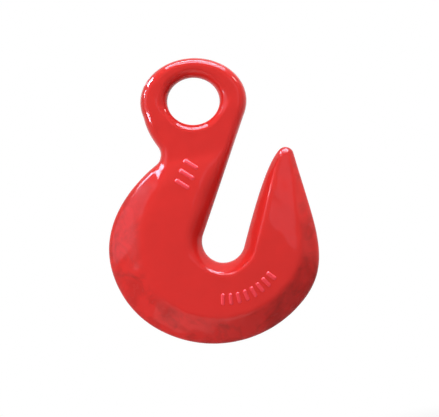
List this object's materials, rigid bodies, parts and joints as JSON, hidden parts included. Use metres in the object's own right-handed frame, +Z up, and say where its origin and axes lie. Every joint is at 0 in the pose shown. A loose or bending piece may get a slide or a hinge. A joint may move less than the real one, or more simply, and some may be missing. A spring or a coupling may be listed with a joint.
{
  "type": "eye grab hook",
  "caption": "One-piece forged steel chain hook: round-section eye, flat drafted shank, deep narrow slanted slot, wide bowl and tapering pointed tip, glossy red paint.",
  "frame": {"origin": "centre of the eye's hole, in the parting plane", "axes": "+Z runs up the load line, from the middle of the slot's round end to the centre of the eye; +X points to the tip's side; +Y runs through the thickness, along the axis of the eye's hole"},
  "size_m": [0.0873, 0.02, 0.1205],
  "materials": {
    "red_paint": "glossy red paint over forged steel"
  },
  "bodies": {
    "root": {"hook_forging": "red_paint"}
  },
  "joints": []
}
